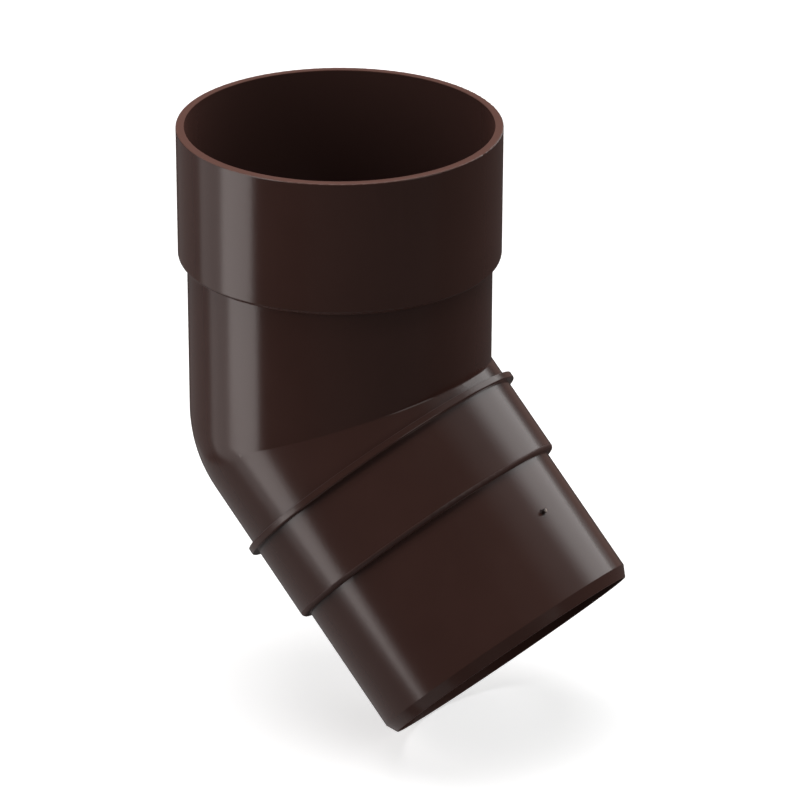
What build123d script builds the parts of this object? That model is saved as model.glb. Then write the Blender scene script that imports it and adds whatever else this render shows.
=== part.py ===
from build123d import *

import math
import os

# Downspout elbow: one moulded piece with a socket on top, a bend that is mitred on its inner
# side and round on its outer side, and a slanted leg that ends in a spigot.
# Millimetres. Z runs up the socket's axis, and the origin is the middle of the seat that the
# upper pipe's end stands on. The slanted leg leans towards +X, and XZ is the plane of symmetry.

# The round pipe that the elbow joins, above and below
pipe_diameter = 85.0
pipe_wall = 2.0

# Fits, each a gap on the radius
socket_clearance = 0.25
spigot_clearance = 0.30

# The moulded wall and the turn
wall = 2.25
bend_angle = 45.0

# Socket, from the seat up to the rim
socket_depth = 35.65
socket_round = 1.0
rim_round = 0.35

# Straight pipe between the socket's underside and the mitre, on the inner side of the turn
body_length = 28.45
mitre_round = 0.6

# Square-sided ring round the leg, below the mitre
ring_gap = 2.4
ring_face = 2.0
ring_height = 1.95
ring_upper_round = 0.1
ring_lower_round = 0.45

# Plain band between the ring and the shoulder that the lower pipe's end meets
band_length = 22.7
shoulder_round = 1.3

# Spigot that goes inside the lower pipe, with a lead-in round its end
spigot_length = 41.2
lead_in_length = 3.2
lead_in_depth = 1.6
end_round = 0.2

# Mark that the moulding gate leaves on the spigot, low enough for the pipe to pass over it
gate_from_shoulder = 14.6
gate_diameter = 1.6
gate_height = 0.15

# Radii
body_radius = pipe_diameter / 2
socket_bore_radius = body_radius + socket_clearance
socket_radius = socket_bore_radius + wall
ring_radius = body_radius + ring_height
spigot_radius = body_radius - pipe_wall - spigot_clearance
spigot_end_radius = spigot_radius - lead_in_depth
body_bore_radius = body_radius - wall
spigot_bore_radius = spigot_radius - wall

# Heights on the socket's axis
underside_z = -wall
mitre_reach = body_radius * math.tan(math.radians(bend_angle / 2))
crossing_z = underside_z - body_length - mitre_reach

# Distances down the leg's axis, from the point where it crosses the socket's axis
ring_top = mitre_reach + ring_gap
ring_under = ring_top + ring_face
shoulder = ring_under + band_length
leg_end = shoulder + spigot_length
lead_in_start = leg_end - lead_in_length
neck_end = shoulder - wall
neck_start = neck_end - (body_bore_radius - spigot_bore_radius)

# The leg's own plane: its X points across the leg to the inner side, its Y down the leg
lean = math.radians(bend_angle)
crossing = Vector(0, 0, crossing_z)
down_the_leg = Vector(math.sin(lean), 0, -math.cos(lean))
across_the_leg = Vector(math.cos(lean), 0, math.sin(lean))
leg_plane = Plane(origin=crossing, x_dir=across_the_leg, z_dir=(0, 1, 0))
leg_axis = Axis(crossing, down_the_leg)
turn_axis = Axis(crossing, (0, -1, 0))
turn_plane = Plane.XY.offset(crossing_z)


def corner(section, radius, height):
    """The section's corner that lies at a radius and a height, both in the section's own plane."""
    return section.vertices().sort_by_distance((radius, height, 0))[0]


# Outer skin
with BuildPart() as skin:
    # Upper pipe, with the socket round it
    with BuildSketch(Plane.XZ) as upper_section:
        with BuildLine():
            Polyline(
                (0, crossing_z),
                (body_radius, crossing_z),
                (body_radius, underside_z),
                (socket_radius, underside_z),
                (socket_radius, socket_depth),
                (0, socket_depth),
                close=True,
            )
        make_face()
        fillet(corner(upper_section, socket_radius, underside_z), socket_round)
        fillet(corner(upper_section, socket_radius, socket_depth), rim_round)
    revolve(axis=Axis.Z)

    # Slanted leg, with its ring, band, shoulder and spigot
    with BuildSketch(leg_plane) as leg_section:
        with BuildLine():
            Polyline(
                (0, 0),
                (body_radius, 0),
                (body_radius, ring_top),
                (ring_radius, ring_top),
                (ring_radius, ring_under),
                (body_radius, ring_under),
                (body_radius, shoulder),
                (spigot_radius, shoulder),
                (spigot_radius, lead_in_start),
                (spigot_end_radius, leg_end),
                (0, leg_end),
                close=True,
            )
        make_face()
        fillet(corner(leg_section, ring_radius, ring_top), ring_upper_round)
        fillet(corner(leg_section, ring_radius, ring_under), ring_lower_round)
        fillet(corner(leg_section, body_radius, shoulder), shoulder_round)
        fillet(corner(leg_section, spigot_end_radius, leg_end), end_round)
    revolve(axis=leg_axis)

    # Round outer side of the turn, a wedge of a ball between the two pipes
    with BuildSketch(turn_plane):
        Circle(body_radius)
        Rectangle(body_radius, 2 * body_radius, align=(Align.MIN, Align.CENTER), mode=Mode.SUBTRACT)
    revolve(axis=turn_axis, revolution_arc=bend_angle)

    # The mitre's edge, softened
    fillet(skin.edges().filter_by(GeomType.ELLIPSE), mitre_round)

# Waterway, which the skin is hollowed by
with BuildPart() as waterway:
    # Socket's bore down to its seat, then the upper pipe's bore
    with BuildSketch(Plane.XZ):
        with BuildLine():
            Polyline(
                (0, crossing_z),
                (body_bore_radius, crossing_z),
                (body_bore_radius, 0),
                (socket_bore_radius, 0),
                (socket_bore_radius, socket_depth + wall),
                (0, socket_depth + wall),
                close=True,
            )
        make_face()
    revolve(axis=Axis.Z)

    # Leg's bore, which narrows by a short cone to the spigot's bore
    with BuildSketch(leg_plane):
        with BuildLine():
            Polyline(
                (0, 0),
                (body_bore_radius, 0),
                (body_bore_radius, neck_start),
                (spigot_bore_radius, neck_end),
                (spigot_bore_radius, leg_end + wall),
                (0, leg_end + wall),
                close=True,
            )
        make_face()
    revolve(axis=leg_axis)

    # Round outer side of the turn
    with BuildSketch(turn_plane):
        Circle(body_bore_radius)
        Rectangle(body_bore_radius, 2 * body_bore_radius, align=(Align.MIN, Align.CENTER), mode=Mode.SUBTRACT)
    revolve(axis=turn_axis, revolution_arc=bend_angle)

    # The ridge inside the mitre, softened
    fillet(waterway.edges().filter_by(GeomType.ELLIPSE), mitre_round)

# The elbow: the skin less the waterway, with the gate's mark on the spigot's inner side
with BuildPart() as elbow:
    add(skin.part)
    add(waterway.part, mode=Mode.SUBTRACT)
    gate_foot = crossing + down_the_leg * (shoulder + gate_from_shoulder)
    gate_root = gate_foot + across_the_leg * (spigot_radius - wall / 2)
    with BuildSketch(Plane(origin=gate_root, x_dir=down_the_leg, z_dir=across_the_leg)):
        Circle(gate_diameter / 2)
    extrude(amount=wall / 2 + gate_height)

elbow.part.label = "elbow_body"
os.makedirs("parts", exist_ok=True)
export_step(elbow.part, "parts/elbow_body.step")
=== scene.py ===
import math

import bmesh
import bpy
from mathutils import Matrix, Quaternion, Vector


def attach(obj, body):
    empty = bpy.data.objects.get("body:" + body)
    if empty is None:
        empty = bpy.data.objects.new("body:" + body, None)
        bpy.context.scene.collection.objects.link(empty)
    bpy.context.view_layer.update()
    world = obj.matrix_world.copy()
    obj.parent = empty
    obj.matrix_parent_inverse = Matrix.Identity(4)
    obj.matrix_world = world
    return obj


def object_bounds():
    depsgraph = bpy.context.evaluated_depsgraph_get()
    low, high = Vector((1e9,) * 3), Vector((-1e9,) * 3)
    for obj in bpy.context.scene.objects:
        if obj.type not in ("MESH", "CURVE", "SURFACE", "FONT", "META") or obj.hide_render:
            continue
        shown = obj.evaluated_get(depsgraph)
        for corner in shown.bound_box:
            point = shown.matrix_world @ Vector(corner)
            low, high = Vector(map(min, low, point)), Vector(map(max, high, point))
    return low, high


# Downspout elbow in dark brown moulded PVC: a socket above, a 45 degree turn, a ringed leg and a spigot.
# Metres. Z runs up the socket's axis, the origin is the middle of the socket's seat, and the leg leans to +X.

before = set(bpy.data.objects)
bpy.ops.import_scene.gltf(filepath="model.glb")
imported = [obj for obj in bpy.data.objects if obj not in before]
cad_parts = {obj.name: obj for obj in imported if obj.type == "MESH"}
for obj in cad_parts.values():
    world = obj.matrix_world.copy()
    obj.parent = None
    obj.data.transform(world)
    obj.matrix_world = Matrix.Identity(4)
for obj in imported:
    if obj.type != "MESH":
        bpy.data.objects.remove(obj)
cad_low, cad_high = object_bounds()
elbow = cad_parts["elbow_body"]

MM = 0.001

# The elbow's driving sizes, as in the part's source
PIPE_RADIUS = 42.5 * MM
PIPE_WALL = 2.0 * MM
SOCKET_CLEARANCE = 0.25 * MM
SPIGOT_CLEARANCE = 0.30 * MM
WALL = 2.25 * MM
SOCKET_DEPTH = 35.65 * MM
BODY_LENGTH = 28.45 * MM
RING_GAP = 2.4 * MM
RING_FACE = 2.0 * MM
RING_HEIGHT = 1.95 * MM
BAND_LENGTH = 22.7 * MM
SPIGOT_LENGTH = 41.2 * MM
GATE_FROM_SHOULDER = 14.6 * MM
BEND = math.radians(45.0)

# Radii
SOCKET_BORE_RADIUS = PIPE_RADIUS + SOCKET_CLEARANCE
BODY_BORE_RADIUS = PIPE_RADIUS - WALL
RING_RADIUS = PIPE_RADIUS + RING_HEIGHT
SPIGOT_RADIUS = PIPE_RADIUS - PIPE_WALL - SPIGOT_CLEARANCE

# The leg's axis crosses the socket's axis here, and distances down the leg are counted from it
MITRE_REACH = PIPE_RADIUS * math.tan(BEND / 2)
CROSSING = Vector((0, 0, -WALL - BODY_LENGTH - MITRE_REACH))
UP_THE_SOCKET = Vector((0, 0, 1))
DOWN_THE_LEG = Vector((math.sin(BEND), 0, -math.cos(BEND)))
ACROSS_THE_LEG = Vector((math.cos(BEND), 0, math.sin(BEND)))
RING_TOP = MITRE_REACH + RING_GAP
SHOULDER = RING_TOP + RING_FACE + BAND_LENGTH
LEG_END = SHOULDER + SPIGOT_LENGTH
GATE_DOWN_THE_LEG = SHOULDER + GATE_FROM_SHOULDER


# Shader maths


class Value:
    """A shader socket that adds its Math nodes where it stands in an expression."""

    def __init__(self, nodes, socket):
        self.nodes, self.socket = nodes, socket

    def maths(self, operation, *values):
        return self.nodes.node("ShaderNodeMath", {"operation": operation}, dict(enumerate(values)))

    def __add__(self, other):
        return self.maths("ADD", self, other)

    __radd__ = __add__

    def __sub__(self, other):
        return self.maths("SUBTRACT", self, other)

    def __rsub__(self, other):
        return self.maths("SUBTRACT", other, self)

    def __mul__(self, other):
        return self.maths("MULTIPLY", self, other)

    __rmul__ = __mul__

    def root(self):
        return self.maths("SQRT", self)

    def sign(self):
        return self.maths("SIGN", self)

    def ramp(self, low, high):
        """0 where the value is at low, 1 where it is at high, and smooth between them."""
        return self.nodes.node(
            "ShaderNodeMapRange",
            {"interpolation_type": "SMOOTHSTEP"},
            {"Value": self, "From Min": low, "From Max": high},
        )

    def within(self, low, high, soft):
        """1 between low and high, and 0 beyond them, with soft margins on the inner side of both."""
        return self.ramp(low, low + soft) * self.ramp(high, high - soft)


class Nodes:
    """The shader nodes of a material, a lamp or a world, added one call at a time."""

    def __init__(self, owner):
        owner.use_nodes = True
        self.owner, self.tree = owner, owner.node_tree
        self.tree.nodes.clear()

    def node(self, kind, settings=None, sockets=None, output=0):
        """Adds a node: its settings first, then the values or links of its sockets."""
        made = self.tree.nodes.new(kind)
        for name, value in (settings or {}).items():
            setattr(made, name, value)
        for name, value in (sockets or {}).items():
            if isinstance(value, Value):
                self.tree.links.new(value.socket, made.inputs[name])
            else:
                made.inputs[name].default_value = value
        return Value(self, made.outputs[output]) if made.outputs else None

    def place(self):
        """Object coordinates, in metres."""
        return self.node("ShaderNodeTexCoord", output="Object")

    def part(self, vector, axis):
        return self.node("ShaderNodeSeparateXYZ", {}, {"Vector": vector}, output=axis)

    def vector(self, operation, *vectors, output=0):
        return self.node("ShaderNodeVectorMath", {"operation": operation}, dict(enumerate(vectors)), output)

    def along(self, vector, direction):
        """How far the vector reaches in a direction."""
        return self.vector("DOT_PRODUCT", vector, direction, output="Value")

    def shift(self, vector, by):
        return self.vector("SUBTRACT", vector, by)

    def stretched(self, vector, scale):
        return self.node("ShaderNodeMapping", {}, {"Vector": vector, "Scale": scale})

    def noise(self, vector, size, detail=2.0, roughness=0.5):
        """Even noise between 0 and 1, whose grains are about as large as size."""
        return self.node(
            "ShaderNodeTexNoise",
            {"normalize": True},
            {"Vector": vector, "Scale": 1 / size, "Detail": detail, "Roughness": roughness},
        )

    def blend(self, share, first, second):
        """A colour between two colours."""
        return self.node("ShaderNodeMix", {"data_type": "RGBA"}, {0: share, 6: first, 7: second}, output=2)

    def between(self, share, first, second):
        """A direction between two directions."""
        return self.node("ShaderNodeMix", {"data_type": "VECTOR"}, {0: share, 4: first, 5: second}, output=1)

    def turned(self, normal, from_axis, axis, keep):
        """The exact normal of a form turned about an axis, with a share of the mesh's own tilt kept."""
        tilt = self.along(normal, axis) * keep
        outward = self.vector("NORMALIZE", self.shift(from_axis, self.vector("PROJECT", from_axis, axis)))
        lift = self.along(normal, outward).sign() * (1 - tilt * tilt).root()
        return self.vector("MULTIPLY_ADD", outward, lift, self.vector("MULTIPLY", tilt, axis))

    def bump(self, height, depth, after=None):
        sockets = {"Height": height, "Distance": depth}
        if after is not None:
            sockets["Normal"] = after
        return self.node("ShaderNodeBump", {}, sockets)

    def finish(self, sockets):
        """Closes a material with its shader."""
        shader = self.node("ShaderNodeBsdfPrincipled", {}, sockets)
        self.node("ShaderNodeOutputMaterial", {}, {"Surface": shader})
        return self.owner


def colour(red, green, blue):
    return (red, green, blue, 1.0)


# Finishes

CHOCOLATE = colour(0.0580, 0.0264, 0.0211)
CHOCOLATE_LIGHT = colour(0.0650, 0.0300, 0.0242)
CHOCOLATE_DARK = colour(0.0515, 0.0232, 0.0184)
# Painted light: a lighter, greyer brown for the bore, standing in for the light that falls inside it
BORE_PAINTED_LIGHT = colour(0.0610, 0.0315, 0.0270)
# Painted light: a pale colour for the rim's upper face, standing in for the light that falls on it; the spigot's
# end face takes a fifth of it
PAINTED_LIGHT_PALE = colour(0.1900, 0.0900, 0.0710)
# Painted shade for the gate stub's side, and a painted highlight for its torn tip
STUB_PAINTED_SHADE = colour(0.0170, 0.0085, 0.0070)
TIP_PAINTED_HIGHLIGHT = colour(0.4600, 0.3800, 0.3300)
DUSTY_BROWN = colour(0.80, 0.36, 0.29)
PLASTIC_IOR = 1.5

# Roughness of the moulded skin, and what is added to it
SATIN = 0.165
UNEVEN_POLISH = 0.03
UNEVEN_SPECKLE = 0.18
DULL_RIM = 0.22
DULL_END = 0.14
DULL_RING_CORNER = 0.20
DULL_SHOULDER = 0.30

# Grain: how large it is, and how deep
SPECKLE_SIZE = 0.36 * MM
SPECKLE_DEPTH = 0.010 * MM
PEEL_SIZE = 1.5 * MM
PEEL_DEPTH = 0.006 * MM
FLOW_WIDTH = 5 * MM
FLOW_STRETCH = (1.0, 1.0, 0.16)
DRIFT_SIZE = 34 * MM

# Where the bore's painted light, a lighter and greyer brown, ends, and how far it reaches into the wall
BORE_COLOUR_FROM = -26 * MM
BORE_COLOUR_FULL = -22 * MM
BORE_COLOUR_DEPTH = 0.7 * MM

# The line where the mesh of a turned form closes, on the +X side: the strip beside it, the heights on the
# upper pipe and the stretch of the leg that it crosses
CLOSING_HALF_WIDTH = 6.0 * MM
CLOSING_SOFT = 1.0 * MM
CLOSING_PIPE_FROM = -30.0 * MM
CLOSING_LEG_FROM = 18.4 * MM
CLOSING_END_SOFT = 0.5 * MM

# The two spots, on either side, where the mitre runs out
MITRE_END_INNER = 1.2 * MM
MITRE_END_OUTER = 2.2 * MM


def moulded_pvc():
    """Satin brown PVC with fine orange peel, faint flow marks and duller edges, and painted light that makes the
    rim's face paler and the bore lighter and greyer.
    """
    n = Nodes(bpy.data.materials.new("moulded_brown_pvc"))
    place = n.place()
    out = n.part(place, "X")
    side = n.part(place, "Y")
    height = n.part(place, "Z")
    pipe_radius = (out * out + side * side).root()
    from_crossing = n.shift(place, CROSSING)
    down = n.along(from_crossing, DOWN_THE_LEG)
    across = n.along(from_crossing, ACROSS_THE_LEG)
    leg_radius = (across * across + side * side).root()

    # The parts of the form that finish differently, some of which also carry painted light
    in_socket = height.ramp(-2.0 * MM, -0.5 * MM)
    bore_radius = BODY_BORE_RADIUS + (SOCKET_BORE_RADIUS - BODY_BORE_RADIUS) * in_socket
    in_bore = (pipe_radius - bore_radius).ramp(BORE_COLOUR_DEPTH, BORE_COLOUR_DEPTH - 0.3 * MM)
    in_bore = in_bore * height.ramp(BORE_COLOUR_FROM, BORE_COLOUR_FULL)
    rim_face = height.ramp(SOCKET_DEPTH - 0.30 * MM, SOCKET_DEPTH - 0.05 * MM)
    end_face = down.ramp(LEG_END - 0.25 * MM, LEG_END - 0.05 * MM)
    ring_corner = leg_radius.ramp(RING_RADIUS - 0.16 * MM, RING_RADIUS - 0.10 * MM)
    ring_corner = ring_corner * down.within(RING_TOP - 0.50 * MM, RING_TOP + 0.15 * MM, 0.04 * MM)
    shoulder_edge = leg_radius.ramp(SPIGOT_RADIUS + 0.2 * MM, SPIGOT_RADIUS + 0.5 * MM)
    shoulder_edge = shoulder_edge * down.ramp(SHOULDER - 1.5 * MM, SHOULDER - 1.1 * MM)

    # Grain: speckle in the gloss, orange peel, flow marks along the pipe, and slow changes of the mould's polish
    speckle = n.noise(place, SPECKLE_SIZE, detail=1.0)
    peel = n.noise(place, PEEL_SIZE)
    flow = n.noise(n.stretched(from_crossing, FLOW_STRETCH), FLOW_WIDTH, detail=3.0)
    drift = n.noise(place, DRIFT_SIZE, detail=3.0, roughness=0.55)

    tone = n.blend(drift.ramp(0.32, 0.70), CHOCOLATE_DARK, CHOCOLATE_LIGHT)
    tone = n.blend(0.55, tone, CHOCOLATE)
    tone = n.blend(0.35 * flow.ramp(0.55, 0.80), tone, CHOCOLATE_LIGHT)
    # Painted light: the bore is painted lighter and greyer than the skin outside
    tone = n.blend(in_bore, tone, BORE_PAINTED_LIGHT)
    # Painted light: the rim's upper face is painted pale for the light that falls on it, and the spigot's end
    # face takes a fifth of the same colour
    tone = n.blend(0.94 * rim_face + 0.20 * end_face, tone, PAINTED_LIGHT_PALE)

    roughness = SATIN + UNEVEN_POLISH * (drift - 0.5) + UNEVEN_POLISH * (flow - 0.5)
    roughness = roughness + UNEVEN_SPECKLE * (speckle - 0.5)
    roughness = roughness + DULL_RIM * rim_face + DULL_END * end_face
    roughness = roughness + DULL_RING_CORNER * ring_corner + DULL_SHOULDER * shoulder_edge

    # A turned form stays round over the line where its mesh closes, and the ring's upper edge stays crisp
    skin = n.node("ShaderNodeNewGeometry", output="Normal")
    round_pipe = n.turned(skin, place, UP_THE_SOCKET, 1.0)
    round_leg = n.turned(skin, from_crossing, DOWN_THE_LEG, 1 - ring_corner)
    closing = side.within(-CLOSING_HALF_WIDTH, CLOSING_HALF_WIDTH, CLOSING_SOFT)
    on_pipe = height.ramp(CLOSING_PIPE_FROM, CLOSING_PIPE_FROM + CLOSING_END_SOFT)
    on_leg = down.ramp(CLOSING_LEG_FROM, CLOSING_LEG_FROM + CLOSING_END_SOFT)
    level = n.between(closing * out.ramp(0.0, CLOSING_SOFT) * on_pipe, skin, round_pipe)
    level = n.between(closing * across.ramp(0.0, CLOSING_SOFT) * on_leg, level, round_leg)
    level = n.between(ring_corner, level, round_leg)

    # Where the mitre runs out on the two sides, the skin is as round as a ball
    mitre_end = (across * across + down * down).root().ramp(MITRE_END_OUTER, MITRE_END_INNER)
    level = n.between(mitre_end, level, n.vector("NORMALIZE", from_crossing))

    relief = n.bump(speckle, SPECKLE_DEPTH, after=level)
    relief = n.bump(peel, PEEL_DEPTH, after=relief)
    return n.finish(
        {
            "Base Color": tone,
            "Roughness": roughness,
            "IOR": PLASTIC_IOR,
            "Sheen Weight": 0.10,
            "Sheen Roughness": 0.5,
            "Sheen Tint": DUSTY_BROWN,
            "Normal": relief,
        }
    )


elbow_finish = moulded_pvc()
for slot in elbow.material_slots:
    slot.material = elbow_finish


# Gate stub

STUB_RADIUS = 0.62 * MM
STUB_HEIGHT = 1.45 * MM
STUB_SIDES = 28
TEAR_TILT = 0.10 * MM
TEAR_RAGGED = 0.035 * MM
FIBRE_SIZE = 0.12 * MM
FIBRE_DEPTH = 0.02 * MM

# Radius and height of each ring of the stub, from its foot in the spigot's wall to its torn tip
STUB_FOOT = (
    (1.55 * STUB_RADIUS, -0.25 * MM),
    (1.50 * STUB_RADIUS, 0.02 * MM),
    (1.18 * STUB_RADIUS, 0.12 * MM),
    (1.04 * STUB_RADIUS, 0.32 * MM),
    (STUB_RADIUS, 0.80 * MM),
)
STUB_TEAR = (
    (0.97 * STUB_RADIUS, STUB_HEIGHT - 0.22 * MM),
    (0.88 * STUB_RADIUS, STUB_HEIGHT - 0.06 * MM),
    (0.62 * STUB_RADIUS, STUB_HEIGHT),
)
STUB_TIP = (0.06 * MM, -0.05 * MM, STUB_HEIGHT - 0.07 * MM)


def snapped_pvc():
    """The gate's stub: painted near black as painted shade, with a torn tip painted white as a painted
    highlight.
    """
    n = Nodes(bpy.data.materials.new("snapped_brown_pvc"))
    place = n.place()
    out = n.along(n.shift(place, CROSSING), ACROSS_THE_LEG) - SPIGOT_RADIUS
    torn = out.ramp(STUB_HEIGHT - 0.10 * MM, STUB_HEIGHT + 0.04 * MM)
    fibres = n.noise(place, FIBRE_SIZE)
    return n.finish(
        {
            # Painted shade and a painted highlight: the stub is painted near black for the shade on its side,
            # and its tip white for the light it catches
            "Base Color": n.blend(torn, STUB_PAINTED_SHADE, TIP_PAINTED_HIGHLIGHT),
            "Roughness": 0.26 + 0.30 * torn + 0.20 * (fibres - 0.5),
            "IOR": PLASTIC_IOR,
            "Normal": n.bump(fibres, FIBRE_DEPTH),
        }
    )


def stub_ring(mesh, radius, height, torn):
    """One ring of the stub's corners, ragged and tilted where the plastic has torn."""
    ring = []
    for step in range(STUB_SIDES):
        turn = math.tau * step / STUB_SIDES
        tear = TEAR_TILT * math.cos(turn - 0.8) + TEAR_RAGGED * math.sin(3 * turn + 0.5)
        up = height + tear if torn else height
        ring.append(mesh.verts.new((radius * math.cos(turn), radius * math.sin(turn), up)))
    return ring


def gate_stub():
    """The snapped stub of the gate on the spigot's inner side: a short round peg with a torn, tilted tip."""
    mesh = bmesh.new()
    rings = [stub_ring(mesh, radius, height, torn=False) for radius, height in STUB_FOOT]
    rings += [stub_ring(mesh, radius, height, torn=True) for radius, height in STUB_TEAR]
    tip = mesh.verts.new(STUB_TIP)
    mesh.faces.new(rings[0])
    for step in range(STUB_SIDES):
        after = (step + 1) % STUB_SIDES
        for lower, upper in zip(rings, rings[1:]):
            mesh.faces.new((lower[step], lower[after], upper[after], upper[step]))
        mesh.faces.new((rings[-1][step], rings[-1][after], tip))
    leg_turn = Matrix((DOWN_THE_LEG, ACROSS_THE_LEG.cross(DOWN_THE_LEG), ACROSS_THE_LEG)).transposed()
    foot = CROSSING + DOWN_THE_LEG * GATE_DOWN_THE_LEG + ACROSS_THE_LEG * SPIGOT_RADIUS
    mesh.transform(Matrix.Translation(foot) @ leg_turn.to_4x4())
    bmesh.ops.recalc_face_normals(mesh, faces=mesh.faces)
    for face in mesh.faces:
        face.smooth = True
    data = bpy.data.meshes.new("gate_stub")
    mesh.to_mesh(data)
    mesh.free()
    data.materials.append(snapped_pvc())
    made = bpy.data.objects.new("gate_stub", data)
    bpy.context.scene.collection.objects.link(made)
    return made


stub = gate_stub()
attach(stub, "root")


# Studio

CAMERA_AZIMUTH = 37.143
CAMERA_ELEVATION = 24.545
CAMERA_ROLL = 0.2303
CAMERA_PLACE = Vector((0.6788, -0.86824, 0.45577))
CAMERA_FOCAL_PIXELS = 4293.3
PICTURE_PIXELS = 800
SENSOR = 36.0

# The lamps face this point, from these distances
LAMP_AIM = Vector((0.020, 0, -0.05075))
NEAR = 1.1
FAR = 4.0

NEUTRAL = (1.0, 1.0, 1.0)
FAINTLY_WARM = (1.0, 0.95, 0.94)
WARM = (1.0, 0.93, 0.91)
CREAM = (1.0, 0.95, 0.92)
COPPER = (1.0, 0.62, 0.52)

WHITE = colour(1.0, 1.0, 1.0)
DIM_ROOM = 0.05

FLOOR_HALF_WIDTH = 6.0
FLOOR_GAP = 0.05 * MM
FLOOR_PALE = colour(0.85, 0.85, 0.85)
FLOOR_GLOW = 0.62
FLOOR_UNSEEN = colour(0.16, 0.16, 0.16)


def direction(azimuth, elevation):
    """From the elbow towards an azimuth and an elevation, in degrees. Azimuth 0 is -Y and 90 is +X."""
    a, e = math.radians(azimuth), math.radians(elevation)
    return Vector((math.sin(a) * math.cos(e), -math.cos(a) * math.cos(e), math.sin(e)))


def facing(away, roll):
    """The turn of a camera or a lamp that looks back from away, rolled by some degrees."""
    return (-away).to_track_quat("-Z", "Y") @ Quaternion((0, 0, 1), math.radians(roll))


def stand(name, data, location, turn):
    made = bpy.data.objects.new(name, data)
    made.location = location
    made.rotation_mode = "QUATERNION"
    made.rotation_quaternion = turn
    bpy.context.scene.collection.objects.link(made)
    return made


def make_camera():
    data = bpy.data.cameras.new("camera")
    data.sensor_fit = "HORIZONTAL"
    data.sensor_width = SENSOR
    data.lens = SENSOR * CAMERA_FOCAL_PIXELS / PICTURE_PIXELS
    data.clip_start, data.clip_end = 0.01, 100
    turn = facing(direction(CAMERA_AZIMUTH, CAMERA_ELEVATION), CAMERA_ROLL)
    bpy.context.scene.camera = stand("camera", data, CAMERA_PLACE, turn)


def softbox(name, at, spans, radiance, tint=NEUTRAL, distance=FAR, fade=None, lean=0.0):
    """A flat lamp that faces the elbow and that no camera sees. All its angles are in degrees.

    at is its azimuth, counted from the camera's, and its elevation. spans is the width and the height that the
    elbow sees. fade is the share of its width over which it falls off to the left and to the right, and lean
    tips its top sideways.
    """
    data = bpy.data.lights.new(name, "AREA")
    data.shape = "RECTANGLE"
    data.size, data.size_y = (2 * distance * math.tan(math.radians(span / 2)) for span in spans)
    data.energy = radiance * math.pi * data.size * data.size_y
    data.color = tint
    if fade:
        n = Nodes(data)
        across = n.part(n.node("ShaderNodeNewGeometry", output="Parametric"), "X")
        bright = across.ramp(0.0, fade[0]) * across.ramp(1.0, 1.0 - fade[1])
        glow = n.node("ShaderNodeEmission", {}, {"Color": WHITE, "Strength": bright})
        n.node("ShaderNodeOutputLight", {}, {"Surface": glow})
    away = direction(CAMERA_AZIMUTH + at[0], at[1])
    made = stand(name, data, LAMP_AIM + away * distance, facing(away, -lean))
    made.visible_camera = False


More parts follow.
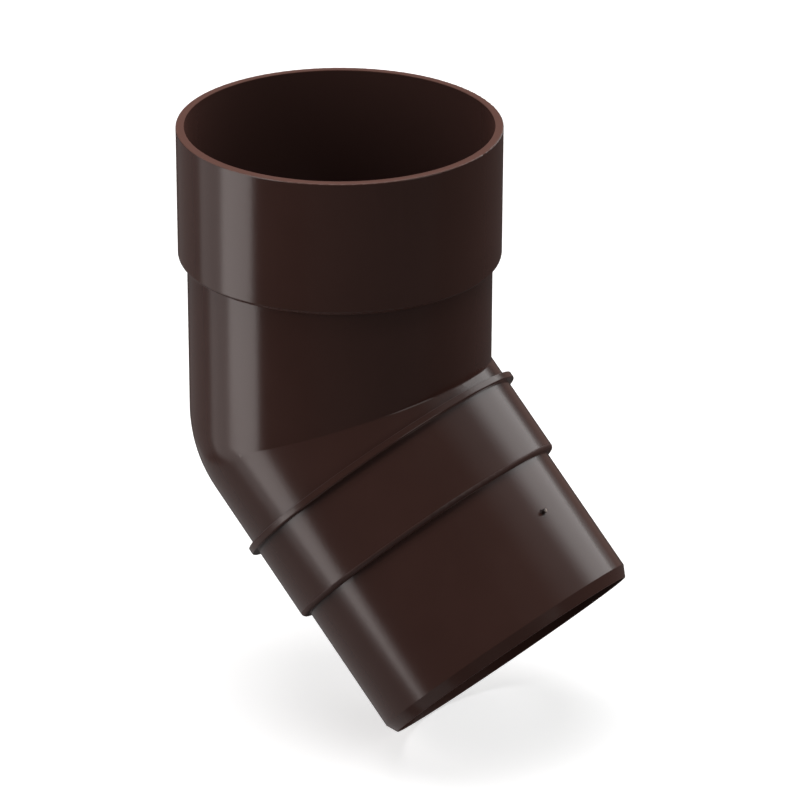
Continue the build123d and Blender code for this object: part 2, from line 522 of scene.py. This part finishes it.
def make_lamps():
    """A plain soft studio: overhead light, a strip on the left and a window on the right, and dim fill."""
    softbox("overhead", at=(0.0, 88.0), spans=(44.0, 44.0), radiance=2.81)
    softbox(
        "left_strip", at=(-69.5, 5.4), spans=(26.2, 69.2), radiance=1.77, tint=WARM, distance=NEAR, lean=17.0
    )
    softbox("left_fill", at=(-88.0, 5.0), spans=(52.0, 75.0), radiance=0.66, tint=FAINTLY_WARM, distance=NEAR)
    softbox("left_upper", at=(-55.0, 28.0), spans=(24.0, 24.0), radiance=0.40)
    softbox("left_back_low", at=(-135.0, -23.0), spans=(44.0, 18.0), radiance=0.09)
    softbox("front_right", at=(48.0, 20.0), spans=(35.0, 38.0), radiance=1.00, tint=CREAM)
    softbox("front_low", at=(25.0, -23.0), spans=(90.0, 18.0), radiance=0.03)
    softbox("right_window", at=(126.6, 25.5), spans=(44.0, 40.0), radiance=1.80, fade=(0.40, 0.20))
    softbox("right_window_foot", at=(139.0, 2.0), spans=(24.0, 8.0), radiance=0.40, fade=(0.35, 0.35))
    softbox("right_glow", at=(98.0, 33.0), spans=(64.0, 52.0), radiance=0.34, fade=(0.45, 0.30))
    softbox("right_back", at=(158.0, -9.0), spans=(26.0, 14.0), radiance=0.14, tint=COPPER)
    softbox("low_left", at=(-118.0, -52.0), spans=(80.0, 34.0), radiance=0.15)
    softbox("low_front", at=(0.0, -62.0), spans=(80.0, 34.0), radiance=0.22)


def make_world():
    """White where the camera looks past the elbow, and otherwise a dim room."""
    world = bpy.data.worlds.new("studio")
    bpy.context.scene.world = world
    n = Nodes(world)
    room = n.node("ShaderNodeBackground", {}, {"Color": WHITE, "Strength": DIM_ROOM})
    white = n.node("ShaderNodeBackground", {}, {"Color": WHITE, "Strength": 1.0})
    seen = n.node("ShaderNodeLightPath", output="Is Camera Ray")
    both = n.node("ShaderNodeMixShader", {}, {0: seen, 1: room, 2: white})
    n.node("ShaderNodeOutputWorld", {}, {"Surface": both})


def make_floor():
    """A plain pale floor, which keeps the elbow's shadow."""
    material = bpy.data.materials.new("pale_floor")
    n = Nodes(material)
    seen = n.node("ShaderNodeLightPath", output="Is Camera Ray")
    pale = n.node("ShaderNodeBsdfDiffuse", {}, {"Color": FLOOR_PALE})
    glow = n.node("ShaderNodeEmission", {}, {"Color": WHITE, "Strength": FLOOR_GLOW})
    lit = n.node("ShaderNodeAddShader", {}, {0: pale, 1: glow})
    dull = n.node("ShaderNodeBsdfDiffuse", {}, {"Color": FLOOR_UNSEEN})
    both = n.node("ShaderNodeMixShader", {}, {0: seen, 1: dull, 2: lit})
    n.node("ShaderNodeOutputMaterial", {}, {"Surface": both})
    half, level = FLOOR_HALF_WIDTH, cad_low.z - FLOOR_GAP
    data = bpy.data.meshes.new("floor")
    corners = [(-half, -half, level), (half, -half, level), (half, half, level), (-half, half, level)]
    data.from_pydata(corners, [], [(0, 1, 2, 3)])
    data.materials.append(material)
    made = bpy.data.objects.new("floor", data)
    made.visible_glossy = False
    made.visible_shadow = False
    bpy.context.scene.collection.objects.link(made)


make_camera()
make_lamps()
make_world()
make_floor()
bpy.context.scene.view_settings.view_transform = "Standard"
